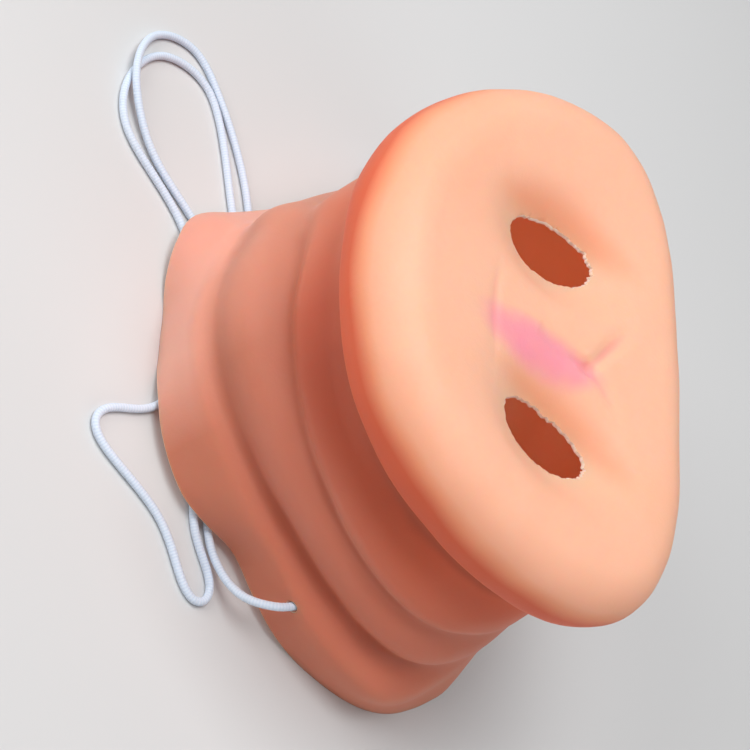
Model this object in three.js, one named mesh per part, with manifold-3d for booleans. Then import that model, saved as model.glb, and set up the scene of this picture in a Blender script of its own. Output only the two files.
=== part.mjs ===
// Costume pig nose: one piece of soft rubber on a white elastic cord.
// Millimetres, +Z up. The nose stands on its open back with the snout disc facing up.
// The bridge of the nose is on the +Y side and the upper lip on the -Y side.
import * as THREE from 'three';
import { mergeVertices } from 'three/addons/utils/BufferGeometryUtils.js';
import Module from 'manifold-3d';

// Driving sizes of the rubber
const WALL = 1.8;
const LIP_LEVEL = 42.3;
const LIP_RADIUS = 6.75;
const FACE_DISH = 1.4;
const RIM_REACH = 12.5;
const CONE_FROM = 100;
const CONE_FULL = 135;
const CONE_HOLLOW = 1.0;
const SIDE_DROP = 4.0;
const COLUMNS = 64;
const RINGS_PER_FOLD = 2;

// Soft pits around the nostrils
const PIT_DEPTH = 4.0;
const PIT_LONG = 11.0;
const PIT_WIDE = 7.4;
const NOSTRIL_SIDES = 28;

// Elastic cord, its holes and the knots behind them
const CORD_DIAMETER = 1.2;
const CORD_SIDES = 8;
const STEPS_PER_POINT = 2;
const CORD_LIE = CORD_DIAMETER / 2 + 0.05;
const HOLE_DIAMETER = 2.2;
const HOLE_SIDES = 12;
const HOLE_PLACE = 1.7;
const HOLE_ANGLES = { left: -1.245, right: 1.5 };
const HOLE_SLANTS = { left: -0.42, right: -0.3 };
const KNOT_SEAT = 0.4;
const KNOT_RADIUS = 1.7;
const GAP = 0.3;

// Colours
const RUBBER = new THREE.MeshStandardMaterial({ color: 0xf2a888, roughness: 0.6 });
const ELASTIC = new THREE.MeshStandardMaterial({ color: 0xe6eef4, roughness: 0.8 });

// Folds of the tube from the open rim to the neck. Each outline has a half width, a half height,
// a middle, a pear shape that widens the lip side, a sag, a flat, a twist in radians and a lean.
const FOLDS = [
  { name: 'rim', level: 0.0, width: 41.4, height: 33.3, middle: -1.8, pear: -7.7,
    sag: 1.4, flat: -0.9, twist: -0.03, lean: 1.1 },
  { name: 'band', level: 4.5, width: 41.2, height: 32.9, middle: -1.8, pear: -7.5,
    sag: 1.3, flat: -0.2, twist: -0.05, lean: 0.3 },
  { name: 'band top', level: 9.9, width: 40.6, height: 32.0, middle: -1.8, pear: -7.0,
    sag: 1.3, flat: 0.7, twist: -0.07, lean: -0.9 },
  { name: 'first groove', level: 13.6, width: 38.3, height: 31.2, middle: -1.6, pear: -5.9,
    sag: 1.0, flat: 0.8, twist: -0.07, lean: -0.2 },
  { name: 'ridge', level: 19.2, width: 38.3, height: 31.2, middle: -1.0, pear: -6.3,
    sag: -0.4, flat: 0.2, twist: -0.08, lean: 0.1 },
  { name: 'second groove', level: 24.0, width: 36.1, height: 28.4, middle: 0.2, pear: -6.1,
    sag: -1.7, flat: -0.4, twist: -0.08, lean: -0.3 },
  { name: 'thin ridge', level: 27.9, width: 35.7, height: 28.2, middle: 0.4, pear: -5.8,
    sag: -1.7, flat: -0.4, twist: -0.08, lean: -0.2 },
  { name: 'neck', level: 32.0, width: 33.8, height: 26.4, middle: -0.5, pear: -4.3,
    sag: 0.2, flat: -1.1, twist: -0.03, lean: -0.4 },
];

// Narrow creases at the bottom of the two grooves: place counted in folds, depth and half width
const FOLD_CREASES = [
  { place: 3, depth: 1.5, half: 0.45 },
  { place: 5, depth: 1.3, half: 0.45 },
];

// Swellings and dents of the +X side between the rim and the neck, by degrees from the bridge
const SIDE_WAVES = [
  { angle: 34, half: 8, push: 1.6 },
  { angle: 64, half: 13, push: -2.0 },
];

// Middle line of the rolled lip around the snout disc
const LIP = { width: 30.0, height: 24.9, middle: 0.3, pear: -4.9,
  sag: 0.4, flat: -2.0, twist: 0.03, lean: -0.2 };

// Turns around the rolled lip, in degrees from straight outwards
const LIP_TURNS = [-72, -48, -26, -6, 14, 34, 54, 74, 92];

// Rings of the face inside the lip, as shares of the lip's middle line
const FACE_RINGS = [0.92, 0.83, 0.74, 0.66, 0.58, 0.5, 0.42, 0.34, 0.26, 0.18, 0.09];

// The rim's wavy edge, by degrees from the bridge towards +X: how far it lifts off the floor
// and how far it flares outwards
const RIM_WAVES = [
  { angle: -180, lift: 5.4, flare: 0.0 },
  { angle: -155, lift: 3.6, flare: 1.8 },
  { angle: -138, lift: 0.8, flare: 3.5 },
  { angle: -130, lift: 0.3, flare: 2.1 },
  { angle: -122, lift: 0.0, flare: 1.1 },
  { angle: -104, lift: 0.0, flare: 0.4 },
  { angle: -86, lift: 0.0, flare: 0.4 },
  { angle: -76, lift: 1.9, flare: 1.2 },
  { angle: -68, lift: 2.3, flare: 0.3 },
  { angle: -60, lift: 2.4, flare: -0.6 },
  { angle: -52, lift: 2.4, flare: 1.2 },
  { angle: -45, lift: 2.4, flare: 2.4 },
  { angle: -31, lift: 2.3, flare: 1.7 },
  { angle: -22, lift: 2.0, flare: 0.5 },
  { angle: -12, lift: 0.0, flare: -1.5 },
  { angle: -2, lift: 0.0, flare: -1.9 },
  { angle: 8, lift: 0.0, flare: -1.4 },
  { angle: 17, lift: 1.0, flare: 0.7 },
  { angle: 26, lift: 2.1, flare: 2.8 },
  { angle: 36, lift: 2.2, flare: 3.7 },
  { angle: 48, lift: 2.2, flare: 0.3 },
  { angle: 60, lift: 2.6, flare: -2.2 },
  { angle: 74, lift: 2.4, flare: -2.4 },
  { angle: 102, lift: 2.2, flare: -1.0 },
  { angle: 110, lift: 0.0, flare: -0.4 },
  { angle: 128, lift: 0.0, flare: 0.8 },
  { angle: 138, lift: 0.8, flare: 2.7 },
  { angle: 155, lift: 3.6, flare: 1.8 },
  { angle: 180, lift: 5.4, flare: 0.0 },
];

// The two hand-cut nostril holes: middle, half length, half width and turn in radians
const NOSTRILS = [
  { x: 11.9, y: -2.0, long: 7.9, wide: 4.1, turn: 0.05 },
  { x: -15.6, y: -1.5, long: 7.8, wide: 3.8, turn: 0.31 },
];

// Where the cord lies between its two holes: over the floor on the bridge side, under the
// lifted edge, twice round the long loop and back to the far hole. No height means on the floor.
const CORD_ROUTE = [
  { x: -35.2, y: 13.0, z: 8.2 },
  { x: -34.3, y: 14.9, z: 5.7 },
  { x: -30.9, y: 16.7, z: 2.4 },
  { x: -24.2, y: 19.0 },
  { x: 12.0, y: 16.5 },
  { x: 28.4, y: 18.2 },
  { x: 43.0, y: 25.0 },
  { x: 49.8, y: 31.0 },
  { x: 49.2, y: 37.6 },
  { x: 41.2, y: 41.4, z: 2.2 },
  { x: 30.2, y: 37.0, z: 1.0 },
  { x: 21.8, y: 28.0 },
  { x: 18.8, y: 24.4 },
  { x: 18.5, y: 21.5 },
  { x: 20.6, y: 19.7 },
  { x: 26.4, y: 21.0 },
  { x: 44.6, y: 28.0 },
  { x: 46.0, y: 36.5 },
  { x: 39.3, y: 41.6 },
  { x: 31.9, y: 41.1 },
  { x: 19.3, y: 29.0 },
  { x: 5.0, y: 23.3 },
  { x: -9.2, y: 29.5 },
  { x: -11.9, y: 37.6 },
  { x: -13.7, y: 39.3 },
  { x: -16.1, y: 38.4 },
  { x: -25.1, y: 26.7 },
  { x: -33.8, y: 21.4 },
  { x: -35.4, y: 19.4 },
  { x: -34.4, y: 17.4 },
  { x: -32.0, y: 17.3 },
  { x: -23.0, y: 21.6 },
  { x: 9.0, y: 16.7, z: 2.1 },
  { x: 33.0, y: -7.5 },
  { x: 40.5, y: -11.8 },
  { x: 44.3, y: -10.8, z: 0.7 },
  { x: 45.2, y: -6.9, z: 2.4 },
  { x: 43.4, y: -3.2, z: 5.2 },
];

// Point on an outline at angle t from the bridge towards +X
function outlinePoint(o, t) {
  const x = o.width * Math.sin(t) + o.pear * Math.sin(2 * t);
  const y = o.middle + o.height * Math.cos(t) + o.sag * Math.cos(2 * t) + o.flat * Math.cos(3 * t);
  const c = Math.cos(o.twist);
  const s = Math.sin(o.twist);
  return new THREE.Vector2(o.lean + x * c - y * s, x * s + y * c);
}

// Outward normal of an outline at angle t
function outlineNormal(o, t) {
  const step = 0.01;
  const run = outlinePoint(o, t + step).sub(outlinePoint(o, t - step)).normalize();
  return new THREE.Vector2(-run.y, run.x);
}

// Outline of the tube at a place counted in folds, by a Catmull-Rom curve through the table
function foldAt(place) {
  const i = Math.min(Math.floor(place), FOLDS.length - 2);
  const f = place - i;
  const row = {};
  for (const key of ['level', 'width', 'height', 'middle', 'pear', 'sag', 'flat', 'twist', 'lean']) {
    const value = (k) => FOLDS[THREE.MathUtils.clamp(k, 0, FOLDS.length - 1)][key];
    const [p0, p1, p2, p3] = [value(i - 1), value(i), value(i + 1), value(i + 2)];
    const bend = 2 * p0 - 5 * p1 + 4 * p2 - p3;
    const swing = 3 * p1 - p0 - 3 * p2 + p3;
    row[key] = 0.5 * (2 * p1 + (p2 - p0) * f + bend * f * f + swing * f * f * f);
  }
  return row;
}

// Lift and flare of the rim's edge at angle t, by a smooth curve through the table
function rimWave(t) {
  const a = THREE.MathUtils.radToDeg(Math.atan2(Math.sin(t), Math.cos(t)));
  const last = RIM_WAVES.length - 1;
  let k = 0;
  while (k < last - 1 && a > RIM_WAVES[k + 1].angle) k += 1;
  const rows = [Math.max(0, k - 1), k, k + 1, Math.min(last, k + 2)].map((i) => RIM_WAVES[i]);
  const span = rows[2].angle - rows[1].angle;
  const f = (a - rows[1].angle) / span;
  const value = (key) => {
    const before = span * (rows[2][key] - rows[0][key]) / (rows[2].angle - rows[0].angle);
    const after = span * (rows[3][key] - rows[1][key]) / (rows[3].angle - rows[1].angle);
    const step = rows[2][key] - rows[1][key];
    return rows[1][key] + f * (before + f * (3 * step - 2 * before - after + f * (before + after - 2 * step)));
  };
  return { lift: Math.max(0, value('lift')), flare: value('flare') };
}

// Depth of the narrow creases at a place counted in folds
function creaseDepth(place) {
  let depth = 0;
  for (const c of FOLD_CREASES) depth += c.depth * Math.exp(-Math.pow((place - c.place) / c.half, 2));
  return depth;
}

// Share of the plain cone that the folds run out into on the lip side
function coneShare(t) {
  const a = THREE.MathUtils.radToDeg(Math.abs(Math.atan2(Math.sin(t), Math.cos(t))));
  return THREE.MathUtils.smoothstep(a, CONE_FROM, CONE_FULL);
}

// How far the +X side swells at angle t
function sidePush(t) {
  const a = THREE.MathUtils.radToDeg(Math.atan2(Math.sin(t), Math.cos(t)));
  let push = 0;
  for (const w of SIDE_WAVES) push += w.push * Math.exp(-Math.pow((a - w.angle) / w.half, 2));
  return push;
}

// Point on the tube's outer skin. The folds lie lower on the +X side, and on the lip side they
// run out into the cone.
function tubePoint(place, t) {
  const row = foldAt(place);
  const [rim, neck] = [FOLDS[0], FOLDS[FOLDS.length - 1]];
  const up = row.level / neck.level;
  const hump = Math.sin(Math.PI * up);
  const cone = outlinePoint(rim, t).lerp(outlinePoint(neck, t), up);
  const share = coneShare(t);
  const wave = rimWave(t);
  const near = Math.max(0, 1 - row.level / RIM_REACH);
  const crease = creaseDepth(place) * (0.55 - 0.45 * Math.sin(t));
  const folded = wave.flare * near - crease + sidePush(t) * hump;
  const plain = wave.flare * (1 - up) - CONE_HOLLOW * hump;
  const out = THREE.MathUtils.lerp(folded, plain, share);
  const p = outlinePoint(row, t).lerp(cone, share).addScaledVector(outlineNormal(row, t), out);
  const drop = SIDE_DROP * THREE.MathUtils.smoothstep(Math.sin(t), 0.1, 0.8) * hump * (1 - share);
  return new THREE.Vector3(p.x, p.y, row.level + wave.lift * near - drop);
}

// Depth of the soft pits around the nostrils at a point of the face
function pitDepth(x, y) {
  let depth = 0;
  for (const n of NOSTRILS) {
    const along = (x - n.x) * Math.sin(n.turn) + (y - n.y) * Math.cos(n.turn);
    const across = (x - n.x) * Math.cos(n.turn) - (y - n.y) * Math.sin(n.turn);
    const reach = Math.hypot(along / PIT_LONG, across / PIT_WIDE);
    depth += PIT_DEPTH * Math.exp(-Math.pow(reach, 3));
  }
  return depth;
}

// Point on the face inside the lip
function facePoint(share, t) {
  const p = outlinePoint(LIP, t).multiplyScalar(share);
  const level = LIP_LEVEL + LIP_RADIUS - FACE_DISH * (1 - share * share);
  return new THREE.Vector3(p.x, p.y, level - pitDepth(p.x, p.y));
}

// Outer skin, ring by ring from the rim to the middle of the face
function outerRings() {
  const angles = Array.from({ length: COLUMNS }, (_, i) => (i / COLUMNS) * 2 * Math.PI);
  const rings = [];
  for (let k = 0; k <= (FOLDS.length - 1) * RINGS_PER_FOLD; k += 1) {
    rings.push(angles.map((t) => tubePoint(k / RINGS_PER_FOLD, t)));
  }
  for (const turn of LIP_TURNS) {
    const out = LIP_RADIUS * Math.cos(THREE.MathUtils.degToRad(turn));
    const up = LIP_RADIUS * Math.sin(THREE.MathUtils.degToRad(turn));
    rings.push(angles.map((t) => {
      const p = outlinePoint(LIP, t).addScaledVector(outlineNormal(LIP, t), out);
      return new THREE.Vector3(p.x, p.y, LIP_LEVEL + up);
    }));
  }
  for (const share of FACE_RINGS) rings.push(angles.map((t) => facePoint(share, t)));
  return rings;
}

// Inner skin: the outer one moved inwards by the wall
function innerRings(outer, tip) {
  return outer.map((ring, i) => ring.map((p, j) => {
    const before = outer[Math.max(0, i - 1)][j];
    const after = i + 1 < outer.length ? outer[i + 1][j] : tip;
    const along = new THREE.Vector3().subVectors(after, before);
    const around = new THREE.Vector3().subVectors(ring[(j + 1) % COLUMNS], ring[(j + COLUMNS - 1) % COLUMNS]);
    const q = p.clone().addScaledVector(along.cross(around).normalize(), -WALL);
    if (i === 0) q.z = p.z;
    return q;
  }));
}

// One closed body from the two skins, the rim's edge and the middles of the face
function skinGeometry() {
  const outer = outerRings();
  const tip = facePoint(0, 0);
  const inner = innerRings(outer, tip);
  const innerTip = tip.clone().setZ(tip.z - WALL);
  const position = [...outer.flat(), ...inner.flat(), tip, innerTip].flatMap((p) => p.toArray());
  const count = outer.length * COLUMNS;
  const at = (skin, i, j) => skin * count + i * COLUMNS + (j % COLUMNS);
  const index = [];
  const quad = (a, b, c, d) => index.push(a, b, c, a, c, d);
  const last = outer.length - 1;
  for (let j = 0; j < COLUMNS; j += 1) {
    for (let i = 0; i < last; i += 1) {
      quad(at(0, i, j), at(0, i + 1, j), at(0, i + 1, j + 1), at(0, i, j + 1));
      quad(at(1, i, j), at(1, i, j + 1), at(1, i + 1, j + 1), at(1, i + 1, j));
    }
    quad(at(0, 0, j), at(0, 0, j + 1), at(1, 0, j + 1), at(1, 0, j));
    index.push(at(0, last, j), 2 * count, at(0, last, j + 1));
    index.push(at(1, last, j), at(1, last, j + 1), 2 * count + 1);
  }
  const geometry = new THREE.BufferGeometry();
  geometry.setAttribute('position', new THREE.Float32BufferAttribute(position, 3));
  geometry.setIndex(index);
  return geometry;
}

// Place of the cord hole on one side, its slanted way out, and how far in along it the knot sits
function cordHole(side) {
  const angle = HOLE_ANGLES[side];
  const slant = HOLE_SLANTS[side];
  const n = outlineNormal(foldAt(HOLE_PLACE), angle);
  const out = new THREE.Vector3(n.x, n.y, 0).applyAxisAngle(new THREE.Vector3(0, 0, 1), slant);
  const back = (WALL + GAP + KNOT_RADIUS) / Math.cos(slant) + KNOT_SEAT;
  return { at: tubePoint(HOLE_PLACE, angle), out, back };
}

// Bar that cuts a nostril through the face
function nostrilBar(n) {
  const ring = new THREE.EllipseCurve(0, 0, n.wide, n.long).getPoints(NOSTRIL_SIDES);
  const bar = new THREE.ExtrudeGeometry(new THREE.Shape(ring), { depth: 30, bevelEnabled: false });
  return bar.rotateZ(-n.turn).translate(n.x, n.y, LIP_LEVEL - 10);
}

// Bar that cuts a cord hole through the wall
function holeBar(hole) {
  const bar = new THREE.CylinderGeometry(HOLE_DIAMETER / 2, HOLE_DIAMETER / 2, 4 * WALL, HOLE_SIDES);
  const turn = new THREE.Quaternion().setFromUnitVectors(new THREE.Vector3(0, 1, 0), hole.out);
  const middle = hole.at.clone().addScaledVector(hole.out, -WALL / 2);
  return bar.applyQuaternion(turn).translate(middle.x, middle.y, middle.z);
}

// Cord along its route, with the steps spread by the route's points
class CordCurve extends THREE.CatmullRomCurve3 {
  getPoint(u, target) {
    const point = super.getPoint(u, target);
    point.z = Math.max(point.z, CORD_LIE);
    return point;
  }

  getPointAt(u, target) {
    return this.getPoint(u, target);
  }

  getTangentAt(u, target) {
    return this.getTangent(u, target);
  }
}

function cordGeometry(start, end) {
  const inside = (hole) => hole.at.clone().addScaledVector(hole.out, GAP + KNOT_RADIUS - hole.back);
  const outside = (hole) => hole.at.clone().addScaledVector(hole.out, CORD_DIAMETER);
  const laid = CORD_ROUTE.map((p) => new THREE.Vector3(p.x, p.y, p.z ?? CORD_LIE));
  const route = [inside(start), outside(start), ...laid, outside(end), inside(end)];
  const curve = new CordCurve(route, false, 'centripetal');
  const ring = new THREE.EllipseCurve(0, 0, CORD_DIAMETER / 2, CORD_DIAMETER / 2).getPoints(CORD_SIDES);
  const steps = (route.length - 1) * STEPS_PER_POINT;
  return new THREE.ExtrudeGeometry(new THREE.Shape(ring), { steps, extrudePath: curve, bevelEnabled: false });
}

// Knot behind a cord hole
function knotGeometry(hole) {
  const middle = hole.at.clone().addScaledVector(hole.out, -hole.back);
  return new THREE.SphereGeometry(KNOT_RADIUS, 10, 8).translate(middle.x, middle.y, middle.z);
}

// Joining and cutting of closed bodies
const wasm = await Module();
wasm.setup();

function solidOf(geometry) {
  const bare = geometry.clone();
  bare.deleteAttribute('normal');
  bare.deleteAttribute('uv');
  const merged = mergeVertices(bare, 1e-4);
  const vertProperties = new Float32Array(merged.attributes.position.array);
  const triVerts = new Uint32Array(merged.index.array);
  return new wasm.Manifold(new wasm.Mesh({ numProp: 3, vertProperties, triVerts }));
}

function geometryOf(solid) {
  const mesh = solid.getMesh();
  const geometry = new THREE.BufferGeometry();
  geometry.setAttribute('position', new THREE.Float32BufferAttribute(mesh.vertProperties, 3));
  geometry.setIndex(Array.from(mesh.triVerts));
  geometry.computeVertexNormals();
  return geometry;
}

const holes = { left: cordHole('left'), right: cordHole('right') };
const cuts = [...NOSTRILS.map(nostrilBar), holeBar(holes.left), holeBar(holes.right)];
let body = solidOf(skinGeometry());
for (const bar of cuts) body = body.subtract(solidOf(bar));

const group = new THREE.Group();
group.name = 'pig_nose';
const pieces = [
  ['nose_shell', geometryOf(body), RUBBER],
  ['elastic_cord', cordGeometry(holes.left, holes.right), ELASTIC],
  ['knot_left', knotGeometry(holes.left), ELASTIC],
  ['knot_right', knotGeometry(holes.right), ELASTIC],
];
const [, shell] = pieces[0];
shell.computeBoundingBox();
const middle = shell.boundingBox.getCenter(new THREE.Vector3());
for (const [name, geometry, material] of pieces) {
  geometry.translate(-middle.x, -middle.y, 0);
  const piece = new THREE.Mesh(geometry, material);
  piece.name = name;
  group.add(piece);
}
export default group;
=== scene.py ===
# %% [markdown]
# # A costume pig nose
# The real thing is one piece of soft latex, cast in a mould: a wide flange that lies on the
# face, two soft folds, a narrow neck and a fat rolled lip around a dished snout. The two
# nostrils are cut by hand with scissors. A thin elastic cord is knotted behind two small
# holes in the flange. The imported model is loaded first, and everything is built on it.

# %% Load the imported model
import math

import bpy
import numpy as np
from mathutils import Matrix, Vector, kdtree, noise


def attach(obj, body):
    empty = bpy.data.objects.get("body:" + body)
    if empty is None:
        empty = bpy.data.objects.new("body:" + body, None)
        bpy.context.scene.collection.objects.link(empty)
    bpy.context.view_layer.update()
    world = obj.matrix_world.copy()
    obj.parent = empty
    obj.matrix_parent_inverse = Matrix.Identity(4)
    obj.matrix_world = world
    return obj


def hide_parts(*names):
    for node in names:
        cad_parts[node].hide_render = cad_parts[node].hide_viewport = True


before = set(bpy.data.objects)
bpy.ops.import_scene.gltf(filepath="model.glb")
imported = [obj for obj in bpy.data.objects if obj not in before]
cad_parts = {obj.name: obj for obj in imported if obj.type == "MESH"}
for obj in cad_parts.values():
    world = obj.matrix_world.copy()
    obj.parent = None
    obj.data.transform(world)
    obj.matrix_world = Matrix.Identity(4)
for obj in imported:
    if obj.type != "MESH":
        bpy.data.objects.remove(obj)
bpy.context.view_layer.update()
MM = 0.001
print("nodes:", sorted(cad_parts))

# %% [markdown]
# ## The camera
# The nose stands on its open back and the camera looks down on it from the bridge side, with
# the picture turned so that one side of the nose is up. Two directions are enough to give a
# camera its turn: what is to the right in the picture, and what is up.

# %% Place the camera
EYE_MM = (-93.04, 141.14, 179.27)
PICTURE_RIGHT = Vector((0.0634, -0.7466, 0.6623)).normalized()
PICTURE_UP = Vector((0.9140, 0.3099, 0.2618)).normalized()
LENS_MM = 77.184

towards_eye = PICTURE_RIGHT.cross(PICTURE_UP).normalized()
up = towards_eye.cross(PICTURE_RIGHT)
turn = Matrix((PICTURE_RIGHT, up, towards_eye)).transposed()
lens = bpy.data.cameras.new("camera")
lens.lens = LENS_MM
lens.sensor_width = 36.0
lens.clip_start = 0.01
camera = bpy.data.objects.new("camera", lens)
camera.matrix_world = Matrix.Translation(Vector(EYE_MM) * MM) @ turn.to_4x4()
bpy.context.scene.collection.objects.link(camera)
bpy.context.scene.camera = camera
print("camera height above the floor:", round(math.degrees(math.asin(towards_eye.z)), 1), "degrees")

# %% [markdown]
# ## The nose in numbers
# A cast rubber shape has no straight lines to start from, so it is described the way a mould
# maker would: a stack of outlines. Each row of the table is one fold, and its columns say how
# wide and high the outline is, how far it is pear shaped towards the lip, and how it leans.
# Between the rows a smooth curve runs through the table.

# %% Outlines of the folds
FOLD_COLUMNS = ("level", "width", "height", "middle", "pear", "sag", "flat", "twist", "lean")
FOLDS = {
    "rim":           (0.0, 41.4, 33.3, -1.8, -7.7, 1.4, -0.9, -0.03, 1.1),
    "band":          (4.5, 41.2, 32.9, -1.8, -7.5, 1.3, -0.2, -0.05, 0.3),
    "band top":      (9.9, 40.6, 32.0, -1.8, -7.0, 1.3, 0.7, -0.07, -0.9),
    "first groove":  (13.6, 38.3, 31.2, -1.6, -5.9, 1.0, 0.8, -0.07, -0.2),
    "ridge":         (19.2, 38.3, 31.2, -1.0, -6.3, -0.4, 0.2, -0.08, 0.1),
    "second groove": (24.0, 36.1, 28.4, 0.2, -6.1, -1.7, -0.4, -0.08, -0.3),
    "thin ridge":    (27.9, 35.7, 28.2, 0.4, -5.8, -1.7, -0.4, -0.08, -0.2),
    "neck":          (32.0, 33.8, 26.4, -0.5, -4.3, 0.2, -1.1, -0.03, -0.4),
}
LIP = dict(zip(FOLD_COLUMNS, (42.3, 30.0, 24.9, 0.3, -4.9, 0.4, -2.0, 0.03, -0.2)))
NOSE_MIDDLE = np.array((-0.089, -0.960, 0.0))


def outline(row, t):
    """Points of an outline at the angles t, counted from the bridge."""
    x = row["width"] * np.sin(t) + row["pear"] * np.sin(2 * t)
    y = row["middle"] + row["height"] * np.cos(t)
    y = y + row["sag"] * np.cos(2 * t) + row["flat"] * np.cos(3 * t)
    c, s = math.cos(row["twist"]), math.sin(row["twist"])
    return np.stack([row["lean"] + x * c - y * s, x * s + y * c], -1)


def outline_normal(row, t, step=0.01):
    """Outward directions of an outline at the angles t."""
    run = outline(row, t + step) - outline(row, t - step)
    run /= np.linalg.norm(run, axis=-1, keepdims=True)
    return np.stack([-run[..., 1], run[..., 0]], -1)


def through(points, place):
    """Catmull-Rom curve through a list of rows, at a place counted in rows."""
    last = len(points) - 1
    i = min(int(place), last - 1)
    f = place - i
    p0, p1, p2, p3 = (points[min(max(k, 0), last)] for k in (i - 1, i, i + 1, i + 2))
    bend = 2 * p0 - 5 * p1 + 4 * p2 - p3
    swing = 3 * p1 - p0 - 3 * p2 + p3
    return 0.5 * (2 * p1 + (p2 - p0) * f + bend * f * f + swing * f ** 3)


FOLD_ROWS = [np.array(row) for row in FOLDS.values()]


def fold_at(place):
    return dict(zip(FOLD_COLUMNS, through(FOLD_ROWS, place)))


print("folds:", ", ".join(FOLDS))

# %% [markdown]
# The open edge isn't flat. It waves where the rubber was trimmed and handled, and it lifts
# high on the lip side. A second table gives the lift and the flare by degrees around the edge.

# %% Waves of the open edge
RIM_REACH = 12.5
RIM_WAVES = np.array((
    # degrees, lift, flare
    (-180, 5.4, 0.0), (-155, 3.6, 1.8), (-138, 0.8, 3.5), (-130, 0.3, 2.1), (-122, 0.0, 1.1),
    (-104, 0.0, 0.4), (-86, 0.0, 0.4), (-76, 1.9, 1.2), (-68, 2.3, 0.3), (-60, 2.4, -0.6),
    (-52, 2.4, 1.2), (-45, 2.4, 2.4), (-31, 2.3, 1.7), (-22, 2.0, 0.5), (-12, 0.0, -1.5),
    (-2, 0.0, -1.9), (8, 0.0, -1.4), (17, 1.0, 0.7), (26, 2.1, 2.8), (36, 2.2, 3.7),
    (48, 2.2, 0.3), (60, 2.6, -2.2), (74, 2.4, -2.4), (102, 2.2, -1.0), (110, 0.0, -0.4),
    (128, 0.0, 0.8), (138, 0.8, 2.7), (155, 3.6, 1.8), (180, 5.4, 0.0),
))


def degrees_of(t):
    return np.degrees(np.arctan2(np.sin(t), np.cos(t)))


def rim_wave(t):
    """Lift and flare of the edge at the angles t, by a smooth curve through the table."""
    a, last = degrees_of(t), len(RIM_WAVES) - 1
    k = np.clip(np.searchsorted(RIM_WAVES[:, 0], a) - 1, 0, last - 1)
    r0, r1, r2, r3 = (RIM_WAVES[np.clip(k + d, 0, last)] for d in (-1, 0, 1, 2))
    span = (r2 - r1)[:, :1]
    f = (a[:, None] - r1[:, :1]) / span
    before = span * (r2 - r0) / (r2 - r0)[:, :1]
    after = span * (r3 - r1) / (r3 - r1)[:, :1]
    step = r2 - r1
    both = r1 + f * (before + f * (3 * step - 2 * before - after + f * (before + after - 2 * step)))
    return np.maximum(both[:, 1], 0), both[:, 2]


print("edge lifts up to", RIM_WAVES[:, 1].max(), "mm")

# %% [markdown]
# The folds are deepest on the side that is down in the picture, and lie lower on the far side,
# which is also dented a little. Each has a soft crease at its bottom. On the lip side the folds
# run out, and the tube is a plain, slightly hollow cone there.

# %% Rings of the tube
FOLD_CREASES = ((3, 1.5, 0.45), (5, 1.3, 0.45))  # place in folds, depth, half width
SIDE_WAVES = ((34, 8, 1.6), (64, 13, -2.0))  # degrees from the bridge, half width, push
SIDE_DROP = 4.0
CONE_FROM, CONE_FULL = 100, 135
CONE_HOLLOW = 1.0


def smooth_step(value, low, high):
    f = np.clip((value - low) / (high - low), 0, 1)
    return f * f * (3 - 2 * f)


def tube_ring(place, t):
    """One ring of the outer skin of the tube, in millimetres."""
    row, rim, neck = fold_at(place), fold_at(0), fold_at(len(FOLDS) - 1)
    up = row["level"] / neck["level"]
    hump = math.sin(math.pi * up)
    near = max(0.0, 1 - row["level"] / RIM_REACH)
    lift, flare = rim_wave(t)
    cone_share = smooth_step(np.abs(degrees_of(t)), CONE_FROM, CONE_FULL)
    crease = sum(deep * math.exp(-((place - at) / half) ** 2) for at, deep, half in FOLD_CREASES)
    push = sum(p * np.exp(-((degrees_of(t) - at) / half) ** 2) for at, half, p in SIDE_WAVES)
    folded = flare * near - crease * (0.55 - 0.45 * np.sin(t)) + push * hump
    plain = flare * (1 - up) - CONE_HOLLOW * hump
    out = folded * (1 - cone_share) + plain * cone_share
    cone = outline(rim, t) * (1 - up) + outline(neck, t) * up
    xy = outline(row, t) * (1 - cone_share)[:, None] + cone * cone_share[:, None]
    drop = SIDE_DROP * smooth_step(np.sin(t), 0.1, 0.8) * hump * (1 - cone_share)
    xy = xy + outline_normal(row, t) * out[:, None]
    return np.column_stack([xy, row["level"] + lift * near - drop])


print("rim ring spans", np.ptp(tube_ring(0, np.linspace(0, 6.28, 90))[:, 0]).round(1), "mm")


# %% [markdown]
# ## The elastic cord
# Thin round elastic is limp, so it lies on the floor wherever it falls: out of one hole, under
# the lifted edge, twice out in a long loop, out again in a sharp bend, and back to the other
# hole. A cord is made as a tube along a list of points. The points are joined by a curve that
# passes through each of them, and the curve is then eased a little, because elastic can't
# turn a corner.

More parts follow.
